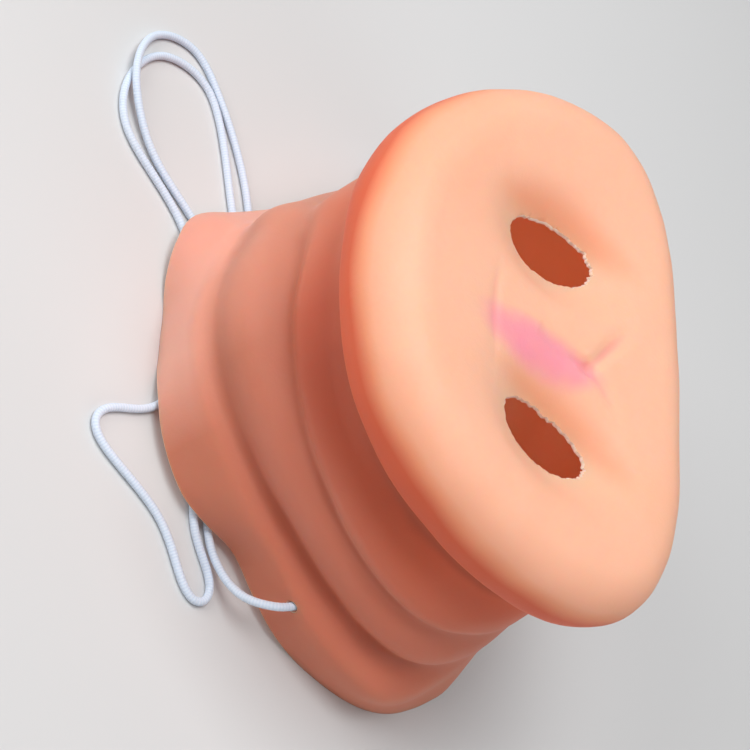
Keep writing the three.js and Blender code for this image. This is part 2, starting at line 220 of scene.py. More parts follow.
# %% Where the cord lies
CORD_DIAMETER = 1.2
CORD_LIE = CORD_DIAMETER / 2 + 0.05
WALL = 1.8
HOLE_PLACE = 1.7
HOLE_ANGLES = {"left": -1.245, "right": 1.5}
HOLE_SLANTS = {"left": -0.42, "right": -0.3}
KNOT_RADIUS = 1.7
KNOT_GAP = 0.3
KNOT_SEAT = 0.4
CORD_ROUTE_MM = (
    (-35.2, 13.0, 8.2), (-34.3, 14.9, 5.7), (-30.9, 16.7, 2.4), (-24.2, 19.0), (12.0, 16.5), (28.4, 18.2),
    (43.0, 25.0), (49.8, 31.0), (49.2, 37.6), (41.2, 41.4, 2.2), (30.2, 37.0, 1.0),
    (21.8, 28.0), (18.8, 24.4), (18.5, 21.5), (20.6, 19.7), (26.4, 21.0),
    (44.6, 28.0), (46.0, 36.5), (39.3, 41.6), (31.9, 41.1), (19.3, 29.0),
    (5.0, 23.3), (-9.2, 29.5), (-11.9, 37.6), (-13.7, 39.3), (-16.1, 38.4),
    (-25.1, 26.7), (-33.8, 21.4), (-35.4, 19.4), (-34.4, 17.4), (-32.0, 17.3),
    (-23.0, 21.6), (9.0, 16.7, 2.1), (33.0, -7.5), (40.5, -11.8), (44.3, -10.8, 0.7),
    (45.2, -6.9, 2.4), (43.4, -3.2, 5.2),
)


def cord_hole(side):
    """Middle of a cord hole on the outer skin, the slanted way out, and how far in the knot is."""
    t, slant = np.array([HOLE_ANGLES[side]]), HOLE_SLANTS[side]
    n = outline_normal(fold_at(HOLE_PLACE), t)[0]
    c, s = math.cos(slant), math.sin(slant)
    out = np.array((n[0] * c - n[1] * s, n[0] * s + n[1] * c, 0.0))
    back = (WALL + KNOT_GAP + KNOT_RADIUS) / c + KNOT_SEAT
    return tube_ring(HOLE_PLACE, t)[0], out, back


def smooth_path(points, spacing):
    """Centripetal curve through the points, at even steps."""
    ends = [2 * points[0] - points[1]], [2 * points[-1] - points[-2]]
    p = np.vstack([ends[0], points, ends[1]])
    fine = []
    for p0, p1, p2, p3 in zip(p[:-3], p[1:-2], p[2:-1], p[3:]):
        a, b, c = (np.linalg.norm(q) ** 0.5 for q in (p1 - p0, p2 - p1, p3 - p2))
        m1 = b * ((p1 - p0) / a - (p2 - p0) / (a + b) + (p2 - p1) / b)
        m2 = b * ((p2 - p1) / b - (p3 - p1) / (b + c) + (p3 - p2) / c)
        f = np.linspace(0, 1, 40, endpoint=False)[:, None]
        fine.append((2 * f ** 3 - 3 * f ** 2 + 1) * p1 + (f ** 3 - 2 * f ** 2 + f) * m1
                    + (3 * f ** 2 - 2 * f ** 3) * p2 + (f ** 3 - f ** 2) * m2)
    return even(np.vstack(fine + [points[-1:]]), spacing)


def even(line, spacing):
    """The same line with its points at even steps."""
    run = np.r_[0, np.cumsum(np.linalg.norm(np.diff(line, axis=0), axis=1))]
    at = np.linspace(0, run[-1], int(run[-1] / spacing) + 1)
    return np.column_stack([np.interp(at, run, line[:, k]) for k in range(3)])


holes = {side: cord_hole(side) for side in HOLE_ANGLES}


def through_hole(side):
    """Two points of the cord: at its knot, and just outside the hole."""
    at, out, back = holes[side]
    return [at + out * (KNOT_GAP + KNOT_RADIUS - back), at + out * CORD_DIAMETER]


laid = [np.array(p if len(p) == 3 else (*p, CORD_LIE)) for p in CORD_ROUTE_MM]
cord_line = smooth_path(np.array(through_hole("left") + laid + through_hole("right")[::-1]), 0.4)
EASE_ROUNDS = 30
for _ in range(EASE_ROUNDS):
    cord_line[2:-2] += 0.5 * (cord_line[1:-3] + cord_line[3:-1] - 2 * cord_line[2:-2]) / 2
cord_line[:, 2] = np.maximum(cord_line[:, 2], CORD_LIE)
cord_line = even(cord_line, 0.24) - NOSE_MIDDLE

# %% [markdown]
# The cord's cover is braided from fine threads. At this size a braid is a small relief in two
# crossing spirals, so the tube's radius swells and shrinks by a few hundredths of a
# millimetre. The tube also gets a UV map, one turn across and its length along, for the
# threads in the material.

# %% Tube along a line
BRAID_WAVES = 8
BRAID_PITCH = 1.9
BRAID_RELIEF = 0.014


def tube_along(name, line, radius, sides, relief=0.0):
    """Closed tube along a line in millimetres, as a new object at the origin."""
    ahead = np.gradient(line, axis=0)
    ahead /= np.linalg.norm(ahead, axis=1, keepdims=True)
    side = np.zeros_like(ahead)
    side[0] = np.cross(ahead[0], (0.0, 0.0, 1.0))
    for k in range(1, len(line)):
        side[k] = side[k - 1] - ahead[k] * np.dot(side[k - 1], ahead[k])
        side[k] /= np.linalg.norm(side[k])
    side[0] /= np.linalg.norm(side[0])
    over = np.cross(ahead, side)
    run = np.r_[0, np.cumsum(np.linalg.norm(np.diff(line, axis=0), axis=1))]
    turn = np.arange(sides) / sides * 2 * math.pi
    spiral = 2 * math.pi * run[:, None] / BRAID_PITCH
    wave = np.sin(BRAID_WAVES / 2 * turn + spiral) * np.sin(BRAID_WAVES / 2 * turn - spiral)
    r = radius - relief + relief * wave
    rings = line[:, None] + r[..., None] * (np.cos(turn)[None, :, None] * side[:, None]
                                            + np.sin(turn)[None, :, None] * over[:, None])
    count = len(line)
    faces = [(i * sides + j, i * sides + (j + 1) % sides, (i + 1) * sides + (j + 1) % sides,
              (i + 1) * sides + j) for i in range(count - 1) for j in range(sides)]
    caps = [tuple(range(sides - 1, -1, -1)), tuple(range((count - 1) * sides, count * sides))]
    mesh = bpy.data.meshes.new(name)
    mesh.from_pydata((rings.reshape(-1, 3) * MM).tolist(), [], faces + caps)
    uv = mesh.uv_layers.new(name="along")
    across = np.array([(j / sides, (j + 1) / sides, (j + 1) / sides, j / sides)
                       for j in range(sides)])
    uvs = np.zeros((len(uv.data), 2))
    quads = (count - 1) * sides
    uvs[:quads * 4, 0] = np.tile(across.reshape(-1), count - 1)
    low, high = np.repeat(run[:-1], sides), np.repeat(run[1:], sides)
    uvs[:quads * 4, 1] = np.stack([low, low, high, high], -1).reshape(-1) * MM
    uv.data.foreach_set("uv", uvs.reshape(-1))
    mesh.polygons.foreach_set("use_smooth", [True] * len(mesh.polygons))
    mesh.validate()
    piece = bpy.data.objects.new(name, mesh)
    bpy.context.scene.collection.objects.link(piece)
    print(name, "has", len(mesh.polygons), "faces")
    return piece


cord = tube_along("elastic", cord_line, CORD_DIAMETER / 2, 24, BRAID_RELIEF)
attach(cord, "root")
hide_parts("elastic_cord")

# %% [markdown]
# Behind each hole the cord ends in a plain overhand knot, pulled tight against the inside of
# the wall. The curve of such a knot is a trefoil: it passes through its own loop three times.

# %% Knots behind the holes
KNOT_THREAD = 0.47


def overhand_knot(name, hole):
    at, out, back = hole
    middle = at - out * back - NOSE_MIDDLE
    t = np.linspace(0, 2 * math.pi, 120)
    loop = np.stack([np.sin(t) + 2 * np.sin(2 * t), np.cos(t) - 2 * np.cos(2 * t),
                     -1.6 * np.sin(3 * t)], -1)
    loop *= (KNOT_RADIUS - KNOT_THREAD) / 3.0
    level = np.cross((0.0, 0.0, 1.0), out)
    turned = loop[:, :1] * level + loop[:, 1:2] * np.array((0.0, 0.0, 1.0)) + loop[:, 2:] * out
    piece = tube_along(name, middle + turned, KNOT_THREAD, 12)
    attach(piece, "root")
    return piece


knots = {side: overhand_knot("tied_" + side, holes[side]) for side in holes}
for side, knot in knots.items():
    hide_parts("knot_" + side)
exit_mm = holes["left"][0] - NOSE_MIDDLE
tuple(exit_mm * MM)

# %% [markdown]
# ## The snout's face
# Inside the rolled lip the face is slightly dished, and sinks into a soft funnel around each
# nostril. Casting and folding have left a few fine creases between the nostrils.

# %% Depth of the face
LIP_LEVEL = 42.3
LIP_RADIUS = 6.75
FACE_DISH = 1.4
PIT_DEPTH = 4.0
PIT_LONG = 11.0
PIT_WIDE = 7.4
NOSTRILS = (
    dict(x=11.9, y=-2.0, long=7.9, wide=4.1, turn=0.05),
    dict(x=-15.6, y=-1.5, long=7.8, wide=3.8, turn=0.31),
)
CREASES = (
    # points, depth, half width
    (((5.5, 10.0), (1.0, 10.9), (-4.0, 11.0), (-10.0, 10.2)), 0.26, 0.8),
    (((4.6, -16.0), (-0.6, -10.9), (-4.2, -7.6), (-5.6, -5.6)), 0.62, 1.1),
    (((-3.4, -3.6), (-4.2, -7.2), (-6.0, -9.7), (-10.0, -13.0)), 0.70, 1.1),
    (((-1.8, 2.5), (-2.9, -1.8), (-4.1, -6.6)), 0.45, 1.6),
)


def along_and_across(n, xy):
    """How far along and across a nostril the points lie, in millimetres."""
    dx, dy = xy[:, 0] - n["x"], xy[:, 1] - n["y"]
    c, s = math.cos(n["turn"]), math.sin(n["turn"])
    return dx * s + dy * c, dx * c - dy * s


def pit_depth(xy):
    """Depth of the funnels around the nostrils."""
    depth = np.zeros(len(xy))
    for n in NOSTRILS:
        along, across = along_and_across(n, xy)
        depth += PIT_DEPTH * np.exp(-np.hypot(along / PIT_LONG, across / PIT_WIDE) ** 3)
    return depth


def crease_depth(xy):
    """Depth of the creases, each along a short line that fades out at both ends."""
    depth = np.zeros(len(xy))
    for line, deep, half in CREASES:
        corners = np.array(line)
        best = np.zeros(len(xy))
        for k, (a, b) in enumerate(zip(corners[:-1], corners[1:])):
            f = np.clip((xy - a) @ (b - a) / ((b - a) @ (b - a)), 0, 1)
            off = np.linalg.norm(xy - a - f[:, None] * (b - a), axis=1)
            along = (k + f) / (len(corners) - 1)
            best = np.maximum(best, np.sin(math.pi * along) ** 0.7 * np.exp(-(off / half) ** 2))
        depth += deep * best
    return depth


def face_ring(share, t):
    """One ring of the face, at a share of the way from its middle to the lip."""
    xy = outline(LIP, t) * share
    level = LIP_LEVEL + LIP_RADIUS - FACE_DISH * (1 - share * share) ** 1.5
    return np.column_stack([xy, level - pit_depth(xy) - crease_depth(xy)])


middles = np.array([(n["x"], n["y"]) for n in NOSTRILS])
print("funnels are", pit_depth(middles).round(2), "mm deep at the nostrils")

# %% [markdown]
# ## The latex skin
# The skin starts as a flat grid, as a sheet of rubber would. Across the grid runs the angle
# around the nose, and up the grid runs the way from the open edge over the folds and the lip
# to the middle of the face. Each grid point is moved to its place, the two side edges of the
# sheet are merged into a tube, and the top edge closes to a point.

# %% Roll the sheet into a snout
COLUMNS = 208
TUBE_RINGS = 29
LIP_TURNS = (-72, -48, -26, -6, 14, 34, 54, 74, 92)
STEPS_TUBE = 3
STEPS_NECK = 9
STEPS_LIP = 4
NECK_FROM = 24
NECK_ROUNDS = 14
FACE_STEPS = 46


def skin_rings(t):
    """Rings of the outer skin, from the open edge to the middle of the face."""
    guides = [tube_ring(k / 4, t) for k in range(TUBE_RINGS)]
    for degrees in LIP_TURNS:
        a = math.radians(degrees)
        xy = outline(LIP, t) + outline_normal(LIP, t) * LIP_RADIUS * math.cos(a)
        guides.append(np.column_stack([xy, np.full(len(t), LIP_LEVEL + LIP_RADIUS * math.sin(a))]))
    guides += [face_ring(0.92, t), face_ring(0.83, t)]
    rings = []
    for k in range(len(guides) - 2):
        steps = STEPS_TUBE if k < TUBE_RINGS - 1 else STEPS_NECK if k == TUBE_RINGS - 1 else STEPS_LIP
        rings += [through(guides, k + f / steps) for f in range(steps)]
    rings = np.stack(rings)
    first, last = NECK_FROM * STEPS_TUBE, (TUBE_RINGS - 1) * STEPS_TUBE + STEPS_NECK + 2 * STEPS_LIP
    for _ in range(NECK_ROUNDS):
        sides = rings[first - 1:last - 1] + rings[first + 1:last + 1]
        rings[first:last] = 0.5 * rings[first:last] + 0.25 * sides
    rings = list(rings)
    shares = np.linspace(0.92, 0.0, FACE_STEPS)
    return rings + [face_ring(share, t) for share in shares]


def only(piece):
    """Deselect everything, then select and activate one piece."""
    bpy.ops.object.select_all(action="DESELECT")
    piece.select_set(True)
    bpy.context.view_layer.objects.active = piece


around = np.linspace(-math.pi, math.pi, COLUMNS + 1)
rings = skin_rings(around)
bpy.ops.object.select_all(action="DESELECT")
bpy.ops.mesh.primitive_grid_add(x_subdivisions=COLUMNS, y_subdivisions=len(rings) - 1, size=1)
nose = bpy.context.object
nose.name = "latex_nose"
grid = np.zeros(len(nose.data.vertices) * 3)
nose.data.vertices.foreach_get("co", grid)
grid = grid.reshape(-1, 3)
column = np.rint((grid[:, 0] + 0.5) * COLUMNS).astype(int)
row = np.rint((grid[:, 1] + 0.5) * (len(rings) - 1)).astype(int)
placed = (np.stack(rings)[row, column] - NOSE_MIDDLE) * MM
nose.data.vertices.foreach_set("co", placed.reshape(-1))
nose.data.update()
print("sheet of", COLUMNS, "by", len(rings), "points")

# %% [markdown]
# Hand work leaves the rubber a little uneven. A broad, low noise moves the skin by a tenth of
# a millimetre or so, and then the seams are merged and the faces are turned outwards.

# %% Uneven rubber and merged seams
UNEVEN_MM = 0.22
UNEVEN_SIZE = 11.0
SETTLED_MM = 6.0  # below this height the edge keeps its shape on the floor


def unevenness(p):
    """Soft noise: broad swellings, and weaker ones of less than half their size."""
    size = UNEVEN_SIZE * MM
    return noise.noise(Vector(p) / size) + 0.4 * noise.noise(Vector(p) * 2.3 / size)


only(nose)
bpy.ops.object.mode_set(mode="EDIT")
bpy.ops.mesh.select_all(action="SELECT")
bpy.ops.mesh.remove_doubles(threshold=0.00001)
bpy.ops.mesh.normals_make_consistent(inside=False)
bpy.ops.object.mode_set(mode="OBJECT")
for v in nose.data.vertices:
    swell = unevenness(v.co) * UNEVEN_MM * MM
    settled = min(1.0, v.co.z / (SETTLED_MM * MM))
    v.co += v.normal * swell * settled
print("skin has", len(nose.data.vertices), "points after merging")

# %% [markdown]
# The folds get painted shade: later the colour is made darker and redder where the skin lies in a
# hollow. How deep a point lies in a fold is worked out here from the skin's shape: a point in a
# hollow lies below the average of its neighbourhood. The values are kept in a search tree, to be
# given to the finished mesh.

# %% Measure how hollow the skin is
HOLLOW_ROUNDS = 40
HOLLOW_FULL_MM = 0.9

links = np.array([e.vertices[:] for e in nose.data.edges])
points = np.array([v.co[:] for v in nose.data.vertices])
normals = np.array([v.normal[:] for v in nose.data.vertices])
valence = np.bincount(links.ravel(), minlength=len(points))[:, None]
relaxed = points.copy()
for _ in range(HOLLOW_ROUNDS):
    total = np.zeros_like(relaxed)
    np.add.at(total, links[:, 0], relaxed[links[:, 1]])
    np.add.at(total, links[:, 1], relaxed[links[:, 0]])
    relaxed = total / valence
hollow = np.clip(np.einsum("ij,ij->i", relaxed - points, normals) / (HOLLOW_FULL_MM * MM), -1, 1)
skin_tree = kdtree.KDTree(len(points))
for k, p in enumerate(points):
    skin_tree.insert(p, k)
skin_tree.balance()
print("hollowest and fullest:", round(float(hollow.max()), 2), round(float(hollow.min()), 2))

# %% [markdown]
# A Solidify modifier gives the sheet its wall, inwards from the outer skin. It also numbers
# the materials: the skin first, then the lining, then the cut edge. Real nostrils are cut where
# the funnel is thinnest, so a vertex group makes the wall thin there.

# %% Give the rubber its wall
THIN_EDGE = 0.20  # share of the wall that is left at a nostril's edge
THIN_REACH = 0.9  # how far out from the edge the wall is thinned, in the nostril's half sizes
FACE_FROM = 0.036  # metres; only the face above this is thinned
FAR_AWAY = 9.0
thickness = nose.vertex_groups.new(name="thickness")
flat = points + NOSE_MIDDLE * MM
near_cut = np.full(len(points), FAR_AWAY)
for n in NOSTRILS:
    along, across = along_and_across(n, flat / MM)
    near_cut = np.minimum(near_cut, np.hypot(along / n["long"], across / n["wide"]))
near_cut[points[:, 2] < FACE_FROM] = FAR_AWAY
share = THIN_EDGE + (1 - THIN_EDGE) * smooth_step(near_cut, 1.0, 1.0 + THIN_REACH)
for k, weight in enumerate(share):
    thickness.add([k], float(weight), "REPLACE")
wall = nose.modifiers.new("wall", "SOLIDIFY")
wall.thickness = WALL * MM
wall.vertex_group = "thickness"
wall.offset = -1.0
wall.use_even_offset = False
wall.use_quality_normals = True
wall.material_offset = 1
wall.material_offset_rim = 2
for part in ("latex skin", "latex lining", "latex cut"):
    nose.data.materials.append(bpy.data.materials.new(part))
only(nose)
bpy.ops.object.modifier_apply(modifier="wall")
for v in nose.data.vertices:
    v.co.z = max(v.co.z, 0.0)
print("walled skin has", len(nose.data.polygons), "faces")

# %% [markdown]
# ## The nostrils and the cord holes
# The nostrils are cut with scissors, held at a slant, so their edges are ragged and sloping. A
# cutter is an oval cone whose outline jumps about by a few tenths of a millimetre. The cord
# holes are punched round. All cutters are joined, so that one Boolean modifier cuts every hole
# and hands its own material to the cut faces.

# %% Cut the holes
CUT_POINTS = 150
CUT_JITTER = 0.20
CUT_LEVEL = 44.7
CUT_SLOPE = 0.32
BROAD_RAGS, FINE_RAGS, FINE_SHARE = 3.0, 11.0, 1.4  # waves of the edge, and the fine ones' share
CUTTER_HEIGHT = 8
PUNCH_SIDES = 24
HOLE_DIAMETER = 1.8


def column_cutter(sides, depth):
    """Upright column of one metre radius that leaves cut edges."""
    bpy.ops.object.select_all(action="DESELECT")
    bpy.ops.mesh.primitive_cylinder_add(vertices=sides, radius=1, depth=depth * MM)
    cutter = bpy.context.object
    cutter.data.materials.append(bpy.data.materials["latex cut"])
    return cutter


cutters = []
for n in NOSTRILS:
    cutter = column_cutter(CUT_POINTS, CUTTER_HEIGHT)
    for v in cutter.data.vertices:
        a = math.atan2(v.co.y, v.co.x)
        on_edge = Vector((math.cos(a), math.sin(a), 0))
        seed = Vector((0, 0, n["x"]))
        ragged = noise.noise(BROAD_RAGS * on_edge + seed)
        ragged += FINE_SHARE * noise.noise(FINE_RAGS * on_edge + seed)
        spread = CUT_JITTER * ragged + CUT_SLOPE * v.co.z / MM
        x = (n["wide"] + spread) * math.cos(a)
        y = (n["long"] + spread) * math.sin(a)
        c, s = math.cos(-n["turn"]), math.sin(-n["turn"])
        v.co.x = (n["x"] + x * c - y * s - NOSE_MIDDLE[0]) * MM
        v.co.y = (n["y"] + x * s + y * c - NOSE_MIDDLE[1]) * MM
        v.co.z += CUT_LEVEL * MM
    cutters.append(cutter)
for at, out, _ in holes.values():
    cutter = column_cutter(PUNCH_SIDES, 4 * WALL)
    spin = Vector((0, 0, 1)).rotation_difference(Vector(out)).to_matrix()
    for v in cutter.data.vertices:
        across = Vector((v.co.x * HOLE_DIAMETER / 2 * MM, v.co.y * HOLE_DIAMETER / 2 * MM, v.co.z))
        v.co = spin @ across + Vector((at - out * WALL / 2 - NOSE_MIDDLE) * MM)
    cutters.append(cutter)
for cutter in cutters:
    cutter.select_set(True)
bpy.ops.object.join()
cut = nose.modifiers.new("cut", "BOOLEAN")
cut.operation = "DIFFERENCE"
cut.solver = "EXACT"
cut.material_mode = "TRANSFER"
cut.object = bpy.context.object
only(nose)
bpy.ops.object.modifier_apply(modifier="cut")
bpy.data.objects.remove(cutters[-1])
print("nose has", len(nose.data.polygons), "faces after cutting")

# %% [markdown]
# The finished mesh gets the measured hollows as an attribute that the material can read, and
# smooth shading, with hard edges only where scissors and punch went through. A second attribute
# says how far the skin faces the front, for the shade that is painted darker and redder round the lip's
# side.

# %% Finish the nose mesh
nearest = np.array([skin_tree.find(v.co)[1] for v in nose.data.vertices])
for name, values in (("hollow", hollow[nearest]), ("facing", normals[nearest, 2])):
    measured = nose.data.attributes.new(name, "FLOAT", "POINT")
    measured.data.foreach_set("value", values)
only(nose)
HARD_EDGE = 48
bpy.ops.object.shade_smooth_by_angle(angle=math.radians(HARD_EDGE))
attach(nose, "root")
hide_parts("nose_shell")
print("latex nose is", [round(d * 1000, 1) for d in nose.dimensions], "mm")

# %% [markdown]
# ## Materials
# A small class stands for a value in a material. Arithmetic on such values adds the Math
# nodes, so that a mask can be written as a formula. Every other node comes from one method.

# %% Write materials as formulas


class Value:
    """A number or colour that comes out of a node."""

    def __init__(self, finish, socket):
        self.finish, self.socket = finish, socket

    def _math(self, operation, *others):
        return self.finish.node("ShaderNodeMath", {"operation": operation}, *others)

    def __add__(self, other):
        return self._math("ADD", self, other)

    def __sub__(self, other):
        return self._math("SUBTRACT", self, other)

    def __rsub__(self, other):
        return self._math("SUBTRACT", other, self)

    def __mul__(self, other):
        return self._math("MULTIPLY", self, other)

    __radd__ = __add__
    __rmul__ = __mul__


class Finish:
    """A material on the Principled shader."""

    def __init__(self, name, **constants):
        self.material = bpy.data.materials.get(name) or bpy.data.materials.new(name)
        self.material.use_nodes = True
        self.tree = self.material.node_tree
        self.shader = self.tree.nodes["Principled BSDF"]
        for socket, value in constants.items():
            self.shader.inputs[socket.replace("_", " ")].default_value = value

    def node(self, kind, settings, *inputs, out=0, **named):
        """Any node, with its settings and the values or links of its sockets."""
        node = self.tree.nodes.new(kind)
        for key, value in settings.items():
            if key == "stops":
                ramp = node.color_ramp
                while len(ramp.elements) < len(value):
                    ramp.elements.new(0.5)
                for element, (place, colour) in zip(ramp.elements, value):
                    element.position, element.color = place, (*colour, 1)
            else:
                setattr(node, key, value)
        pairs = list(enumerate(inputs)) + [(k.replace("_", " "), v) for k, v in named.items()]
        for key, value in pairs:
            self.feed(node.inputs[key], value)
        return Value(self, node.outputs[out])

    def feed(self, socket, value):
        if isinstance(value, Value):
            self.tree.links.new(value.socket, socket)
        else:
            socket.default_value = value

    def set(self, socket, value):
        self.feed(self.shader.inputs[socket], value)

    def mix(self, share, low, high):
        """Colour between two colours."""
        node = self.tree.nodes.new("ShaderNodeMix")
        node.data_type = "RGBA"
        colours = [s for s in node.inputs if s.type == "RGBA"]
        self.feed(node.inputs[0], share)
        for socket, colour in zip(colours, (low, high)):
            self.feed(socket, colour if isinstance(colour, Value) else (*colour, 1))
        return Value(self, [s for s in node.outputs if s.type == "RGBA"][0])

    def place(self):
        return self.node("ShaderNodeTexCoord", {}, out="Object")

    def noise(self, size_mm, detail=2.0, roughness=0.5, at=None):
        return self.node("ShaderNodeTexNoise", {}, Vector=at or self.place(), Scale=1 / (size_mm * MM),
                         Detail=detail, Roughness=roughness)

    def ease(self, value, low, high):
        """0 below low, 1 above high, smooth between."""
        return self.node("ShaderNodeMapRange", {"interpolation_type": "SMOOTHSTEP"}, value, low, high)

    def bump(self, height, depth_mm):
        bump = self.node("ShaderNodeBump", {}, Strength=1.0, Distance=depth_mm * MM, Height=height)
        self.set("Normal", bump)


print("materials are written as formulas")

# %% [markdown]
# ## Latex
# The rubber is dyed peach and lightly sprayed, with a rose patch between the nostrils. Light and
# shade are also painted into the colour: darker and redder on the tube, under the lip, in the folds
# and round the lip's side, and each side lighter or darker as the lamps fall on it. Light goes a few
# millimetres into latex, which keeps the shadows warm. The surface is matt, with a fine moulded grain.

# %% Latex skin
PEACH = (0.925, 0.472, 0.322)
PEACH_DEEP = (0.915, 0.440, 0.280)
# Each set of stops paints light and shade into the colour: by how far the skin faces the front
# round the lip, or by how far towards the side that is up the flange, tube and neck lie.
# Painted shade round the lip's side: darker and redder where the skin faces away from the front.
LIP_SHADE_STOPS = ((0.0, (0.730, 0.135, 0.058)), (0.3, (0.870, 0.320, 0.175)), (0.5, (0.900, 0.410, 0.260)),
              (0.8, (0.925, 0.450, 0.300)), (1.0, PEACH))
# Painted light and shade on the flange: dark and red on the side that is down, light and pink near the
# side that is up.
FLANGE_LIGHT_AND_SHADE_STOPS = ((0.0, (0.640, 0.205, 0.122)), (0.60, (0.620, 0.215, 0.130)), (0.79, (0.940, 0.440, 0.335)),
                (1.0, (0.820, 0.345, 0.260)))
# Painted shade on the tube: darker and redder than the face, by different amounts on each side.
TUBE_SHADE_STOPS = ((0.0, (0.620, 0.190, 0.115)), (0.45, (0.620, 0.205, 0.130)), (0.73, (0.566, 0.200, 0.125)),
              (0.90, (0.670, 0.275, 0.190)))
# Painted shade under the lip: the neck is painted dark and red, less so at both ends of its way round.
NECK_SHADE_STOPS = ((0.0, (0.700, 0.155, 0.072)), (0.26, (0.534, 0.102, 0.045)), (0.62, (0.480, 0.098, 0.050)),
              (0.72, (0.560, 0.122, 0.064)), (0.86, (0.720, 0.220, 0.130)))
# Painted shade in the folds of the tube.
FOLD_SHADE_RED = (0.460, 0.100, 0.048)
# Painted shade in the fine creases of the face, rose tinted.
CREASE_SHADE_ROSE = (0.850, 0.300, 0.270)
# Painted shade on the far wall of each nostril's funnel.
FUNNEL_SHADE = (0.840, 0.310, 0.175)
ROSE = (0.900, 0.250, 0.380)
# Heights in metres between which one part of the nose passes into the next.
FLANGE_TO_TUBE = (0.0085, 0.0145)
TUBE_TO_NECK = (0.0210, 0.0300)
NECK_TO_LIP = (0.0345, 0.0385)
# The neck's painted shade starts this much higher on the side that is down.
NECK_RAISED = 0.004  # the neck's colour starts this much higher on the side that is down
ON_THE_FACE = (0.0415, 0.0435)
BETWEEN_NOSTRILS = (0.0425, 0.0445)

skin = Finish("latex skin", Subsurface_Weight=0.55, Subsurface_Scale=0.0045, IOR=1.45,
              Subsurface_Radius=(1.0, 0.35, 0.18), Specular_IOR_Level=0.30)
place = skin.place()
split = skin.node("ShaderNodeSeparateXYZ", {}, place)
x, y, z = (Value(skin, split.socket.node.outputs[k]) for k in range(3))
facing = skin.node("ShaderNodeAttribute", {"attribute_name": "facing"}, out="Fac")
folded = skin.node("ShaderNodeAttribute", {"attribute_name": "hollow"}, out="Fac")
upper = 0.55 * x + 0.83 * y
height = upper * 20 + 0.3
lower_half = 1 - skin.ease(upper, -0.005, 0.018)
from_left = skin.node("ShaderNodeMath", {"operation": "ABSOLUTE"}, x + 0.009)
# Painted shade round the lip: the facing is lowered away from x = -9 mm and where x and y are both large,
# so the side is painted darker there.
lip_shade_facing = facing + 0.06 - 0.13 * skin.ease(from_left, 0.005, 0.020)
lip_shade_facing = lip_shade_facing - 0.14 * skin.ease(x, 0.002, 0.014) * skin.ease(y, 0.006, 0.018)


def ramp(stops, value):
    return skin.node("ShaderNodeValToRGB", {"stops": stops}, value)


front = skin.mix(skin.ease(skin.noise(26, 3), 0.45, 0.85) * skin.ease(facing, 0.6, 1.0),
                 ramp(LIP_SHADE_STOPS, lip_shade_facing), PEACH_DEEP)
# Painted light and shade on the flange and tube, by how far towards the side that is up they lie.
tube = skin.mix(skin.ease(z, *FLANGE_TO_TUBE), ramp(FLANGE_LIGHT_AND_SHADE_STOPS, height), ramp(TUBE_SHADE_STOPS, height))
# Painted shade under the lip: the neck is painted darker and redder.
neck_shade_share = skin.ease(z - NECK_RAISED * lower_half, *TUBE_TO_NECK)
tube = skin.mix(neck_shade_share, tube, ramp(NECK_SHADE_STOPS, height))
# Painted shade in the folds: darker and redder where the skin is hollow, more on the side that is down.
deep = folded * (1 + lower_half * skin.ease(z, 0.020, 0.023))
crease = skin.ease(deep, 0.02, 0.8) * skin.ease(z, 0.007, 0.011) * (1 - skin.ease(z, 0.034, 0.037))
tube = skin.mix(crease * (0.55 + 0.2 * lower_half), tube, FOLD_SHADE_RED)
colour = skin.mix(skin.ease(z, *NECK_TO_LIP), tube, front)
print("colours run from the flange to the lip")

# %% [markdown]
# The face has three details in its colour: painted shade on the far wall of each nostril's funnel,
# rose painted shade in the fine creases, and a sprayed rose patch between the nostrils. Each is a
# mask made of distances, and the masks are soft.

# %% Painted shade and sprayed rose on the face
PATCH_X, PATCH_Y, PATCH_LONG, PATCH_WIDE, PATCH_TURN = -0.0046, 0.0032, 0.0130, 0.0038, 0.11


def oval(middle_x, middle_y, long, wide, turn):
    """How far along and across an oval a point is, counted in its half sizes."""
    dx, dy = x - middle_x, y - middle_y
    along = (dx * math.sin(turn) + dy * math.cos(turn)) * (1 / long)
    across = (dx * math.cos(turn) - dy * math.sin(turn)) * (1 / wide)
    return along, across


on_face = skin.ease(z, *ON_THE_FACE)
between = skin.ease(z, *BETWEEN_NOSTRILS)
for n in NOSTRILS:
    middle = (np.array((n["x"], n["y"])) - NOSE_MIDDLE[:2]) * MM
    along, across = oval(*middle, n["long"] * MM, n["wide"] * MM, n["turn"])
    reach = along * along + across * across
    # Painted shade on the far wall of the funnel round this nostril.
    far_wall_shade = skin.ease(0.9 * across - 0.2 * along, -0.1, 1.1)
    colour = skin.mix((1 - skin.ease(reach, 1.0, 4.6)) * far_wall_shade * on_face * 0.9, colour, FUNNEL_SHADE)
    between = between * skin.ease(reach, 2.6, 5.0)
# Painted shade in the fine creases between the nostrils, rose tinted.
colour = skin.mix(skin.ease(folded, 0.05, 0.40) * between * 0.6, colour, CREASE_SHADE_ROSE)
wobble = (skin.noise(7, 2) - 0.5) * 0.5
along, across = oval(PATCH_X, PATCH_Y, PATCH_LONG, PATCH_WIDE, PATCH_TURN)
along, across = along + wobble, across + wobble
reach = along * along + across * across
patch = (1 - skin.ease(reach, 0.05, 1.2)) * skin.ease(z, *BETWEEN_NOSTRILS)
colour = skin.mix(patch * (0.62 + 0.25 * skin.noise(5, 2)), colour, ROSE)
skin.set("Base Color", colour)
skin.set("Roughness", 0.46 + 0.14 * skin.noise(5, 3))
skin.bump(skin.noise(0.55, 3, 0.6) * 0.4 + skin.noise(2.6, 3, 0.5), 0.05)
print("latex skin:", len(skin.tree.nodes), "nodes")

